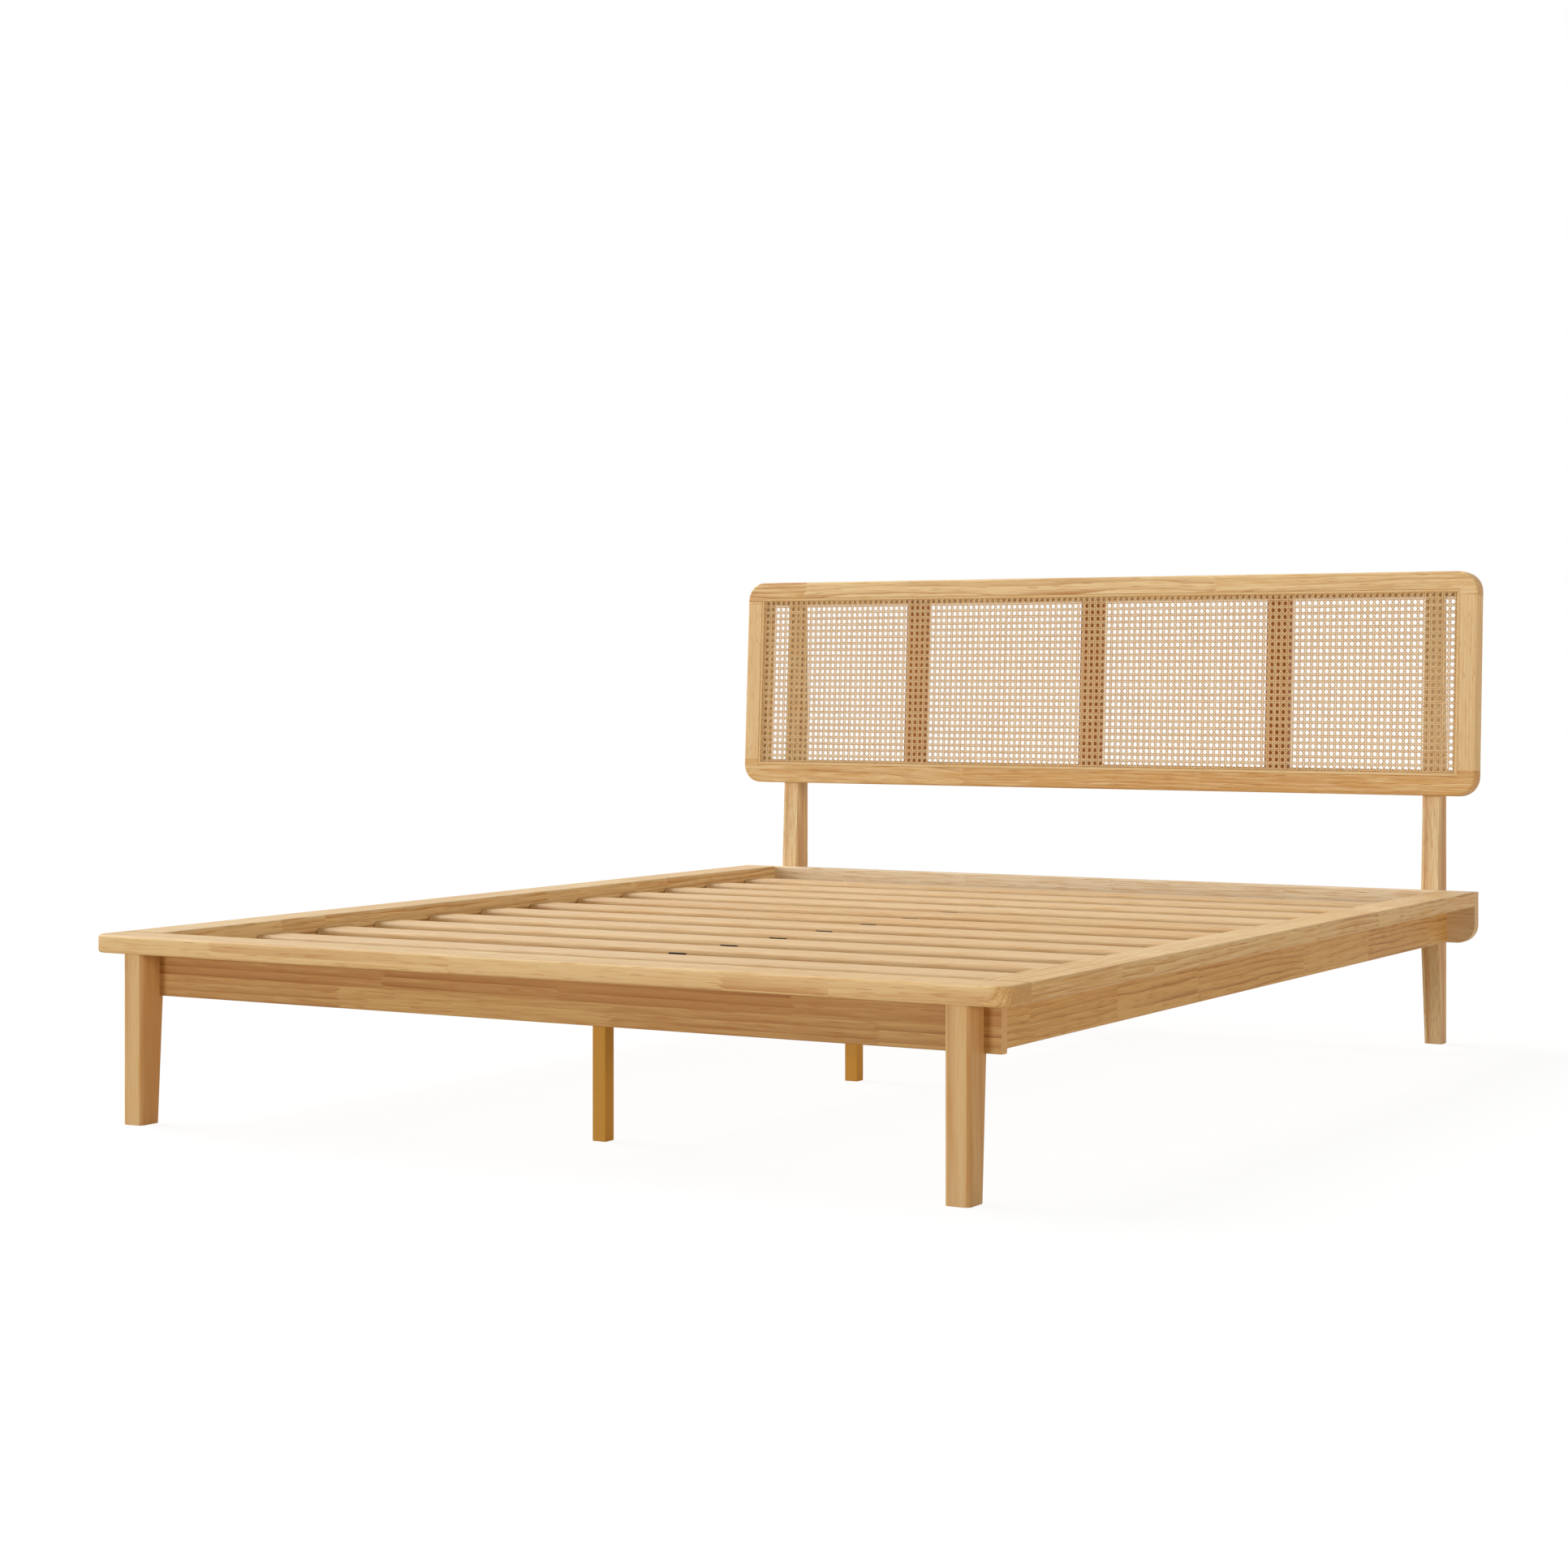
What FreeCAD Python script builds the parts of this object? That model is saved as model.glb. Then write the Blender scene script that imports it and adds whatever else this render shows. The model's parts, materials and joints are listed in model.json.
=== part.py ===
import FreeCAD, Part
import math
import os

vector = FreeCAD.Vector

# Mattress and the well that holds it
mattress_width = 1524.0
mattress_length = 2032.0
mattress_side_clearance = 6.0
mattress_end_clearance = 2.0
platform_height = 314.0
well_depth = 22.0

# Cap frame
cap_width = 82.0
cap_thickness = 30.0
cap_edge_round = 5.0
cap_corner_radius = 30.0

# Rails under the caps
side_rail_thickness = 25.0
side_rail_height = 72.0
apron_thickness = 18.0
apron_height = 72.0
apron_setback = 10.0
apron_end_overhang = 23.0
head_rail_thickness = 30.0
head_rail_height = 102.0
head_rail_corner_radius = 36.0
head_rail_edge_round = 6.0
board_edge_round = 3.0

# Front legs, notched so that the apron sits on a shoulder
leg_width = 41.0
leg_reach = 46.0
leg_shoulder = 8.0
leg_foot_depth = 42.0
leg_inset = 28.0
leg_corner_radius = 10.0

# Head posts, straight at the back and tapered both ways from the head rail
post_width = 35.0
post_rail_depth = 56.0
post_foot_depth = 32.0
post_inset = 85.0
post_top_drop = 16.0
post_edge_round = 3.0

# Headboard
headboard_gap = 189.0
headboard_height = 452.0
headboard_thickness = 40.0
headboard_recline = 3.0
headboard_corner_radius = 40.0
headboard_edge_round = 5.0
stile_width = 49.0
top_rail_height = 49.0
bottom_rail_height = 52.0
tenon_length = 22.0
tenon_thickness = 14.0
tenon_cheek = 8.0
tenon_clearance = 0.3
batten_count = 3
batten_width = 49.0
batten_thickness = 18.0
batten_setback = 11.0
batten_end_gap = 378.0
batten_tenon_thickness = 8.0

# Cane panel in its rabbet, held by a bead, with the lip inside the bead set back
rabbet_width = 13.0
rabbet_depth = 5.0
lip_setback = 7.0
cane_thickness = 2.0
cane_edge_clearance = 1.0
cane_columns = 30
cane_rows = 10
cane_strand = 12.0
bead_width = 6.0
bead_recess = 0.5
bead_round = 2.2

# Slats and what carries them
slat_count = 12
slat_width = 72.0
slat_thickness = 20.0
slat_edge_round = 9.5
slat_end_clearance = 1.5
slat_front_gap = 77.0
slat_head_gap = 61.0
ledge_width = 25.0
ledge_height = 30.0
ledge_end_clearance = 3.0
beam_width = 30.0
beam_height = 55.0
centre_leg_count = 3
centre_leg_size = 26.0
centre_leg_end_gap = 172.0
clip_base = 2.0
clip_lip_height = 11.5
clip_lip_thickness = 2.5
clip_skirt_depth = 12.0
clip_skirt_thickness = 1.2
clip_clearance = 0.3

# Sheet metal
bracket_thickness = 3.0
bracket_leg = 45.0
bracket_height = 46.0
bracket_drop = 16.0
bracket_screw_setback = 32.0
bracket_screw_spacing = 24.0
hanger_thickness = 2.0
hanger_flange = 22.0
hanger_seat = 40.0
hanger_clearance = 0.3
hanger_screw_spacing = 34.0

# Fasteners
screw_diameter = 4.5
screw_length = 16.0
screw_head_diameter = 9.0
screw_head_height = 2.5
screw_key = 3.0
screw_end_clearance = 1.0
bolt_diameter = 6.0
bolt_head_diameter = 16.0
bolt_head_height = 3.0
bolt_head_sink = 4.0
bolt_key = 5.0
bolt_end_clearance = 1.0
insert_diameter = 10.0
insert_length = 16.0
insert_recess = 1.0
socket_depth = 1.8
leg_bolt_diameter = 8.0
leg_bolt_depth = 45.0
dowel_diameter = 8.0
dowel_length = 36.0
dowel_end_clearance = 1.0
cap_dowel_count = 6
cap_dowel_end_gap = 150.0
joint_dowel_spacing = 40.0
ledge_screw_count = 7
ledge_screw_end_gap = 60.0
ledge_screw_bite = 8.0
bolt_pair_spacing = 44.0
fit_clearance = 0.15

# Plan: the origin is on the floor under the middle of the overall length
well_width = mattress_width + 2 * mattress_side_clearance
well_length = mattress_length + 2 * mattress_end_clearance
half_well = well_width / 2
half_width = half_well + cap_width
overall_length = cap_width + well_length + head_rail_thickness + post_rail_depth
front_face = -overall_length / 2
well_front = front_face + cap_width
well_back = well_front + well_length
head_rail_back = well_back + head_rail_thickness
post_back = head_rail_back + post_rail_depth
apron_back = well_front - apron_setback
apron_front = apron_back - apron_thickness
rail_outside = half_well + side_rail_thickness
apron_half_length = rail_outside + apron_end_overhang

# Heights
cap_bottom = platform_height - cap_thickness
side_rail_bottom = cap_bottom - side_rail_height
apron_bottom = cap_bottom - apron_height
head_rail_bottom = platform_height - head_rail_height
slat_top = platform_height - well_depth
slat_bottom = slat_top - slat_thickness
beam_top = slat_bottom - clip_base
beam_bottom = beam_top - beam_height
headboard_bottom = platform_height + headboard_gap
recline = math.radians(headboard_recline)
post_top = headboard_bottom + headboard_height * math.cos(recline) - post_top_drop

# Distances smaller than this count as none when faces and edges are picked
touch = 0.001

along_x = vector(1, 0, 0)
along_y = vector(0, 1, 0)
along_z = vector(0, 0, 1)


# A box between two opposite corners
def block(x_range, y_range, z_range):
    low = vector(x_range[0], y_range[0], z_range[0])
    size = [pair[1] - pair[0] for pair in (x_range, y_range, z_range)]
    return Part.makeBox(size[0], size[1], size[2], low)


# The straight edges of a shape that run along a direction and pass a test on their middle
def edges_along(shape, direction, test=lambda middle: True):
    chosen = []
    for edge in shape.Edges:
        if len(edge.Vertexes) < 2:
            continue
        run = edge.Vertexes[-1].Point - edge.Vertexes[0].Point
        if abs(run.normalize().dot(direction)) > 0.999 and test(edge.CenterOfMass):
            chosen.append(edge)
    return chosen


# A board with its long edges rounded over
def board(x_range, y_range, z_range, direction, radius):
    shape = block(x_range, y_range, z_range)
    return shape.makeFillet(radius, edges_along(shape, direction))


# A flat outline in the YZ plane carried along X
def side_profile(points, x_range):
    corners = [vector(x_range[0], y, z) for y, z in points]
    face = Part.Face(Part.makePolygon(corners + corners[:1]))
    return face.extrude(along_x * (x_range[1] - x_range[0]))


def rod(start, direction, diameter, length):
    return Part.makeCylinder(diameter / 2, length, start, direction)


def hole(start, direction, diameter, length):
    return rod(start, direction, diameter + 2 * fit_clearance, length)


def even(first, last, count):
    return [first + (last - first) * index / (count - 1) for index in range(count)]


def mirrored(shape):
    return shape.mirror(vector(0, 0, 0), along_x)


# The headboard is drawn upright, its back on Y = 0 and its bottom on Z = 0, then leaned back onto the posts
def leaned(shape):
    lean_start = head_rail_back + headboard_gap * math.tan(recline)
    placed = shape.copy()
    placed.rotate(vector(0, 0, 0), along_x, -headboard_recline)
    placed.translate(vector(0, lean_start, headboard_bottom))
    return placed


def post_front(height):
    return head_rail_back + (height - platform_height) * math.tan(recline)


# Screw, bolt and dowel places, used by the pieces and by the fasteners
side_dowel_rows = even(well_front + cap_dowel_end_gap, well_back - cap_dowel_end_gap, cap_dowel_count)
front_dowel_rows = even(-half_well + cap_dowel_end_gap, half_well - cap_dowel_end_gap, cap_dowel_count)
rail_middle = half_well + side_rail_thickness / 2
apron_middle = (apron_front + apron_back) / 2
cap_middle = half_well + cap_width / 2
dowel_hole_depth = dowel_length / 2 + dowel_end_clearance


def cap_dowel_places():
    places = []
    for side in (-1, 1):
        for y in side_dowel_rows:
            places.append((vector(side * rail_middle, y, cap_bottom), along_z))
        for offset in (-joint_dowel_spacing / 2, joint_dowel_spacing / 2):
            x = side * cap_middle + offset
            for y in (well_front, well_back):
                places.append((vector(x, y, platform_height - cap_thickness / 2), along_y))
    for x in front_dowel_rows:
        places.append((vector(x, apron_middle, cap_bottom), along_z))
    return places


def drill_dowels(shape):
    for middle, direction in cap_dowel_places():
        start = middle - direction * dowel_hole_depth
        shape = shape.cut(hole(start, direction, dowel_diameter, 2 * dowel_hole_depth))
    return shape


def cap_dowels():
    solids = []
    for middle, direction in cap_dowel_places():
        solids.append(rod(middle - direction * (dowel_length / 2), direction, dowel_diameter, dowel_length))
    return Part.makeCompound(solids)


# Bolt heights and the middle of what each bolt holds
leg_middle = apron_half_length - leg_inset - leg_width / 2
post_middle = half_width - post_inset - post_width / 2
apron_mid_height = apron_bottom + apron_height / 2
head_rail_mid_height = head_rail_bottom + head_rail_height / 2
leg_bolt_heights = [apron_mid_height + step * bolt_pair_spacing / 2 for step in (-1, 1)]
rail_bolt_heights = [head_rail_mid_height + step * bolt_pair_spacing / 2 for step in (-1, 1)]
board_bolt_heights = [
    headboard_bottom + bottom_rail_height / 2,
    headboard_bottom + headboard_height * math.cos(recline) - top_rail_height / 2 - post_top_drop / 2,
]


# Every bolt runs forward. Each place is its head's seat and the Y of the face where its insert starts
forward = along_y * -1


def bolt_places():
    places = {"front_leg": [], "head_rail": [], "headboard": []}
    for side in (-1, 1):
        for z in leg_bolt_heights:
            seat = vector(side * leg_middle, apron_back - bolt_head_sink, z)
            places["front_leg"].append((seat, apron_front))
        for z in rail_bolt_heights:
            seat = vector(side * post_middle, post_back - bolt_head_sink, z)
            places["head_rail"].append((seat, head_rail_back))
        for z in board_bolt_heights:
            seat = vector(side * post_middle, post_back - bolt_head_sink, z)
            places["headboard"].append((seat, post_front(z)))
    return places


def insert_start(seat, face):
    return vector(seat.x, face - insert_recess, seat.z)


def bolt_length(seat, face):
    return seat.y - insert_start(seat, face).y + insert_length - bolt_end_clearance


# A bolt's own hole, with a wider one behind its seat that sinks the head
def drill_bolts(shape, row):
    for seat, face in bolt_places()[row]:
        shape = shape.cut(hole(seat, forward, bolt_diameter, bolt_length(seat, face)))
        shape = shape.cut(hole(seat, along_y, bolt_head_diameter, bolt_head_sink))
    return shape


# Room for the insert, open to the face that the bolt comes through
def drill_inserts(shape, row):
    for seat, face in bolt_places()[row]:
        start = vector(seat.x, face + insert_recess, seat.z)
        shape = shape.cut(hole(start, forward, insert_diameter, 2 * insert_recess + insert_length))
    return shape


# A shank and a round head on either side of the seat, with a hexagonal socket in the head for the key
def fastener(seat, direction, shank, head, key):
    solid = rod(seat, direction, *shank).fuse(rod(seat, direction * -1, *head)).removeSplitter()
    head_top = seat - direction * head[1]
    turns = even(0, 2 * math.pi, 6 + 1)
    corners = [vector(math.cos(turn), math.sin(turn), 0) * (key / math.sqrt(3)) for turn in turns]
    socket = Part.Face(Part.makePolygon(corners)).extrude(along_z * socket_depth)
    socket.Placement = FreeCAD.Placement(head_top, FreeCAD.Rotation(along_z, direction))
    return solid.cut(socket)


bolt_head = (bolt_head_diameter, bolt_head_height)
screw_shank = (screw_diameter, screw_length)
screw_head = (screw_head_diameter, screw_head_height)


def bolts(row):
    solids = []
    for seat, face in bolt_places()[row]:
        shank = (bolt_diameter, bolt_length(seat, face))
        solids.append(fastener(seat, forward, shank, bolt_head, bolt_key))
    return Part.makeCompound(solids)


def inserts(row):
    solids = []
    for seat, face in bolt_places()[row]:
        start = insert_start(seat, face)
        sleeve = rod(start, forward, insert_diameter, insert_length)
        solids.append(sleeve.cut(hole(start, forward, bolt_diameter, insert_length)))
    return Part.makeCompound(solids)


def screws(places):
    solids = [fastener(seat, direction, screw_shank, screw_head, screw_key) for seat, direction in places]
    return Part.makeCompound(solids)


def drill_screws(shape, places):
    for seat, direction in places:
        shape = shape.cut(hole(seat, direction, screw_diameter, screw_length + screw_end_clearance))
    return shape


# Corner brackets join the side rails to the apron and to the head rail, inside the frame
bracket_top = side_rail_bottom + side_rail_height - bracket_drop
bracket_bottom = bracket_top - bracket_height
bracket_corners = [(side, y, sense) for side in (-1, 1) for y, sense in ((apron_back, 1), (well_back, -1))]
bracket_middle = (bracket_bottom + bracket_top) / 2
bracket_screw_heights = [bracket_middle + step * bracket_screw_spacing / 2 for step in (-1, 1)]


def corner_bracket(side, corner, sense):
    wall = side * half_well
    inner = wall - side * bracket_thickness
    tip = wall - side * bracket_leg
    heights = (bracket_bottom, bracket_top)
    along_rail = block(sorted((wall, inner)), sorted((corner, corner + sense * bracket_leg)), heights)
    across = block(sorted((wall, tip)), sorted((corner, corner + sense * bracket_thickness)), heights)
    return drill_screws(along_rail.fuse(across).removeSplitter(), bracket_screw_places())


def bracket_screw_places():
    places = []
    for side, corner, sense in bracket_corners:
        for z in bracket_screw_heights:
            x_inner = side * (half_well - bracket_thickness)
            x_set_back = side * (half_well - bracket_screw_setback)
            on_rail = vector(x_inner, corner + sense * bracket_screw_setback, z)
            across = vector(x_set_back, corner + sense * bracket_thickness, z)
            places.append((on_rail, along_x * side))
            places.append((across, along_y * -sense))
    return places


# Ledges under the slat ends, screwed to the side rails between the corner brackets
ledge_front = apron_back + bracket_leg + ledge_end_clearance
ledge_back = well_back - bracket_leg - ledge_end_clearance
ledge_inside = half_well - ledge_width
ledge_screw_rows = even(
    ledge_front + ledge_screw_end_gap,
    ledge_back - ledge_screw_end_gap,
    ledge_screw_count,
)
ledge_screw_sink = ledge_width + ledge_screw_bite - screw_length


def ledge_screw_places():
    places = []
    for side in (-1, 1):
        for y in ledge_screw_rows:
            seat = vector(side * (ledge_inside + ledge_screw_sink), y, slat_bottom - ledge_height / 2)
            places.append((seat, along_x * side))
    return places


# Beam hangers: a U-shaped stirrup with two flanges, one at each end of the centre beam
hanger_ends = [(apron_back, 1), (well_back, -1)]
hanger_bottom = beam_bottom - hanger_thickness
hanger_half = beam_width / 2 + hanger_clearance
flange_middle = hanger_half + hanger_thickness + hanger_flange / 2
beam_middle = (beam_bottom + beam_top) / 2
hanger_screw_heights = [beam_middle + step * hanger_screw_spacing / 2 for step in (-1, 1)]


def beam_hanger(face, sense):
    heights = (hanger_bottom, beam_top)
    outer_half = hanger_half + hanger_thickness
    plate_ys = sorted((face, face + sense * hanger_thickness))
    seat_ys = sorted((face, face + sense * hanger_seat))
    flange_half = outer_half + hanger_flange
    plate = block((-flange_half, flange_half), plate_ys, heights)
    stirrup = block((-outer_half, outer_half), seat_ys, heights)
    inner_ys = sorted((face + sense * hanger_thickness, face + sense * hanger_seat))
    room = block((-hanger_half, hanger_half), inner_ys, (hanger_bottom + hanger_thickness, beam_top))
    return drill_screws(plate.fuse(stirrup).cut(room).removeSplitter(), hanger_screw_places())


def hanger_screw_places():
    places = []
    for face, sense in hanger_ends:
        for x in (-flange_middle, flange_middle):
            for z in hanger_screw_heights:
                places.append((vector(x, face + sense * hanger_thickness, z), along_y * -sense))
    return places


def frame_screw_places():
    return bracket_screw_places() + hanger_screw_places()


# Cap frame
def front_cap():
    shape = block((-half_width, half_width), (front_face, well_front), (cap_bottom, platform_height))
    corners = edges_along(shape, along_z, lambda middle: middle.y < front_face + cap_width / 2)
    shape = shape.makeFillet(cap_corner_radius, corners)
    shape = shape.makeFillet(cap_edge_round, rim_edges(shape, cap_bottom, platform_height))
    return drill_dowels(shape)


# The edges round the top and bottom faces of a board that lies flat
def rim_edges(shape, bottom, top):
    chosen = []
    for edge in shape.Edges:
        height = edge.CenterOfMass.z
        if min(abs(height - bottom), abs(height - top)) < touch:
            chosen.append(edge)
    return chosen


def right_cap():
    heights = (cap_bottom, platform_height)
    shape = board((half_well, half_width), (well_front, well_back), heights, along_y, cap_edge_round)
    return drill_dowels(shape)


# Rails
def front_apron():
    xs = (-apron_half_length, apron_half_length)
    shape = block(xs, (apron_front, apron_back), (apron_bottom, cap_bottom))
    lower = edges_along(shape, along_x, lambda middle: middle.z < apron_bottom + apron_height / 2)
    shape = shape.makeFillet(board_edge_round, lower)
    shape = drill_dowels(drill_bolts(shape, "front_leg"))
    return drill_screws(shape, frame_screw_places())


def right_side_rail():
    shape = block((half_well, rail_outside), (apron_back, well_back), (side_rail_bottom, cap_bottom))
    lower = edges_along(shape, along_y, lambda middle: middle.z < side_rail_bottom + side_rail_height / 2)
    shape = shape.makeFillet(board_edge_round, lower)
    shape = drill_screws(shape, bracket_screw_places() + ledge_screw_places())
    return drill_dowels(shape)


def head_rail():
    shape = block((-half_width, half_width), (well_back, head_rail_back), (head_rail_bottom, platform_height))
    lower = edges_along(shape, along_y, lambda middle: middle.z < head_rail_bottom + head_rail_height / 2)
    shape = shape.makeFillet(head_rail_corner_radius, lower)
    rear = [edge for edge in shape.Edges if abs(edge.CenterOfMass.y - head_rail_back) < touch]
    shape = shape.makeFillet(head_rail_edge_round, rear)
    front_top = edges_along(shape, along_x, lambda middle: middle.z > platform_height - touch)
    front_top = [edge for edge in front_top if edge.CenterOfMass.y < well_back + touch]
    shape = shape.makeFillet(board_edge_round, front_top)
    shape = drill_inserts(drill_dowels(shape), "head_rail")
    return drill_screws(shape, frame_screw_places())


# Legs and posts
def right_front_leg():
    right = leg_middle + leg_width / 2
    left = leg_middle - leg_width / 2
    front = apron_front - leg_reach
    shoulder = apron_front + leg_shoulder
    points = [
        (front, 0),
        (front + leg_foot_depth, 0),
        (shoulder, apron_bottom),
        (apron_front, apron_bottom),
        (apron_front, cap_bottom),
        (front, cap_bottom),
    ]
    shape = side_profile(points, (left, right))
    corners = edges_along(shape, along_z, lambda middle: middle.y < front + leg_reach / 2)
    shape = shape.makeFillet(leg_corner_radius, corners)
    return drill_inserts(shape, "front_leg")


def right_head_post():
    right = post_middle + post_width / 2
    left = post_middle - post_width / 2
    points = [
        (post_back, 0),
        (post_back, post_top),
        (post_front(post_top), post_top),
        (head_rail_back, platform_height),
        (head_rail_back, head_rail_bottom),
        (post_back - post_foot_depth, 0),
    ]
    shape = side_profile(points, (left, right))
    rear = edges_along(shape, along_z, lambda middle: middle.y > post_back - post_edge_round)
    shape = shape.makeFillet(post_edge_round, rear)
    return drill_bolts(drill_bolts(shape, "head_rail"), "headboard")


# Headboard, drawn upright in its own frame: front at -thickness, back at zero
headboard_front = -headboard_thickness
rabbet_floor = headboard_front + rabbet_depth
opening_left = -half_width + stile_width
opening_right = half_width - stile_width
opening_bottom = bottom_rail_height
opening_top = headboard_height - top_rail_height
rabbet_x = (opening_left - rabbet_width, opening_right + rabbet_width)
rabbet_z = (opening_bottom - rabbet_width, opening_top + rabbet_width)
lip_x = (rabbet_x[0] + bead_width, rabbet_x[1] - bead_width)
lip_z = (rabbet_z[0] + bead_width, rabbet_z[1] - bead_width)
batten_front = rabbet_floor + batten_setback
batten_back = batten_front + batten_thickness
batten_middles = even(opening_left + batten_end_gap, opening_right - batten_end_gap, batten_count)


# The cane's seat, and the room behind the rows of holes that lie next to the bead
def rabbet():
    seat = block(rabbet_x, (headboard_front, rabbet_floor), rabbet_z)
    return seat.fuse(block(lip_x, (headboard_front, rabbet_floor + lip_setback), lip_z))


# A span of a given width about a middle
def about(middle, width):
    return middle - width / 2, middle + width / 2


# The X range of each upright member, and the Y range of the tenons on each kind
stile_ranges = [(-half_width, opening_left), (opening_right, half_width)]
batten_ranges = [about(middle, batten_width) for middle in batten_middles]
stile_tenon = about(headboard_front / 2, tenon_thickness)
batten_tenon = about((batten_front + batten_back) / 2, batten_tenon_thickness)


def tenons(x_range, y_range, grow):
    xs = (x_range[0] + tenon_cheek - grow, x_range[1] - tenon_cheek + grow)
    ys = (y_range[0] - grow, y_range[1] + grow)
    lower = block(xs, ys, (opening_bottom - tenon_length - grow, opening_bottom))
    upper = block(xs, ys, (opening_top, opening_top + tenon_length + grow))
    return lower, upper


def cross_rail(z_range, corner_height, tenon_index):
    shape = block((-half_width, half_width), (headboard_front, 0), z_range)
    outer = edges_along(shape, along_y, lambda middle: abs(middle.z - corner_height) < touch)
    shape = shape.makeFillet(headboard_corner_radius, outer)
    joint = z_range[0] + z_range[1] - corner_height
    outline = [edge for edge in shape.Edges if is_outline(edge, joint)]
    shape = shape.makeFillet(headboard_edge_round, outline)
    for x_range in stile_ranges:
        shape = shape.cut(tenons(x_range, stile_tenon, tenon_clearance)[tenon_index])
    for x_range in batten_ranges:
        shape = shape.cut(tenons(x_range, batten_tenon, tenon_clearance)[tenon_index])
    return shape.cut(rabbet())


# Outline edges lie on the front or back face and not on the joint line
def is_outline(edge, joint):
    middle = edge.CenterOfMass
    on_face = min(abs(middle.y - headboard_front), abs(middle.y)) < touch
    return on_face and abs(middle.z - joint) > touch


def headboard_top_rail():
    shape = cross_rail((opening_top, headboard_height), headboard_height, 1)
    return drill_inserts(leaned(shape), "headboard")


def headboard_bottom_rail():
    shape = cross_rail((0, opening_bottom), 0, 0)
    return drill_inserts(leaned(shape), "headboard")


def headboard_stile(x_range, outer):
    shape = block(x_range, (headboard_front, 0), (opening_bottom, opening_top))
    rounded = edges_along(shape, along_z, lambda middle: abs(middle.x - outer) < touch)
    shape = shape.makeFillet(headboard_edge_round, rounded)
    for tongue in tenons(x_range, stile_tenon, 0):
        shape = shape.fuse(tongue)
    return leaned(shape.cut(rabbet()).removeSplitter())


def headboard_batten(x_range):
    shape = block(x_range, (batten_front, batten_back), (opening_bottom, opening_top))
    for tongue in tenons(x_range, batten_tenon, 0):
        shape = shape.fuse(tongue)
    return leaned(shape.removeSplitter())


# The cane as a flat net: one holed face with a grid of eight-sided gaps
def cane_panel():
    low = vector(rabbet_x[0] + cane_edge_clearance, rabbet_floor, rabbet_z[0] + cane_edge_clearance)
    high = vector(rabbet_x[1] - cane_edge_clearance, rabbet_floor, rabbet_z[1] - cane_edge_clearance)
    outline = [low, vector(high.x, rabbet_floor, low.z), high, vector(low.x, rabbet_floor, high.z), low]
    wires = [Part.makePolygon(outline)]
    pitch_x = (opening_right - opening_left) / cane_columns
    pitch_z = (opening_top - opening_bottom) / cane_rows
    for column in range(cane_columns):
        for row in range(cane_rows):
            x = opening_left + (column + 0.5) * pitch_x
            z = opening_bottom + (row + 0.5) * pitch_z
            wires.append(cane_gap(vector(x, rabbet_floor, z), pitch_x - cane_strand, pitch_z - cane_strand))
    face = Part.makeFace(wires, "Part::FaceMakerBullseye")
    return leaned(face.extrude(along_y * -cane_thickness))


def cane_gap(middle, width, height):
    cut = min(width, height) / 4
    half_x = width / 2
    half_z = height / 2
    corners = [
        (half_x, half_z - cut), (half_x - cut, half_z), (cut - half_x, half_z), (-half_x, half_z - cut),
        (-half_x, cut - half_z), (cut - half_x, -half_z), (half_x - cut, -half_z), (half_x, cut - half_z),
    ]
    points = [middle + vector(x, 0, z) for x, z in corners]
    return Part.makePolygon(points + points[:1])


def cane_bead(x_range, z_range, direction):
    ys = (headboard_front + bead_recess, rabbet_floor - cane_thickness)
    shape = block(x_range, ys, z_range)
    front = edges_along(shape, direction, lambda middle: middle.y < (ys[0] + ys[1]) / 2)
    return leaned(shape.makeFillet(bead_round, front))


# Slats and their supports
slat_pitch = (well_length - slat_front_gap - slat_head_gap - slat_width) / (slat_count - 1)
slat_fronts = [well_front + slat_front_gap + index * slat_pitch for index in range(slat_count)]
slat_half_length = half_well - slat_end_clearance
centre_leg_fronts = even(
    well_front + centre_leg_end_gap,
    well_back - centre_leg_end_gap - centre_leg_size,
    centre_leg_count,
)


def slat(front):
    xs = (-slat_half_length, slat_half_length)
    return board(xs, (front, front + slat_width), (slat_bottom, slat_top), along_x, slat_edge_round)


def right_slat_ledge():
    heights = (slat_bottom - ledge_height, slat_bottom)
    shape = block((ledge_inside, half_well), (ledge_front, ledge_back), heights)
    for seat, direction in ledge_screw_places():
        head_well = vector(ledge_inside * direction.x, seat.y, seat.z)
        shape = shape.cut(hole(head_well, direction, screw_head_diameter, ledge_screw_sink))
    return drill_screws(shape, ledge_screw_places())


def centre_beam():
    ys = (apron_back + hanger_thickness, well_back - hanger_thickness)
    shape = block((-beam_width / 2, beam_width / 2), ys, (beam_bottom, beam_top))
    for front in centre_leg_fronts:
        start = vector(0, front + centre_leg_size / 2, beam_bottom)
        shape = shape.cut(hole(start, along_z, leg_bolt_diameter, beam_height))
    return shape


def centre_leg(front):
    half = centre_leg_size / 2
    ys = (front, front + centre_leg_size)
    shape = board((-half, half), ys, (0, beam_bottom), along_z, board_edge_round)
    start = vector(0, front + half, beam_bottom - leg_bolt_depth - bolt_end_clearance)
    return shape.cut(hole(start, along_z, leg_bolt_diameter, leg_bolt_depth + bolt_end_clearance))


def centre_leg_bolts():
    solids = []
    for front in centre_leg_fronts:
        seat = vector(0, front + centre_leg_size / 2, beam_top)
        shank = (leg_bolt_diameter, beam_height + leg_bolt_depth)
        solids.append(fastener(seat, along_z * -1, shank, bolt_head, bolt_key))
    return Part.makeCompound(solids)


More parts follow.
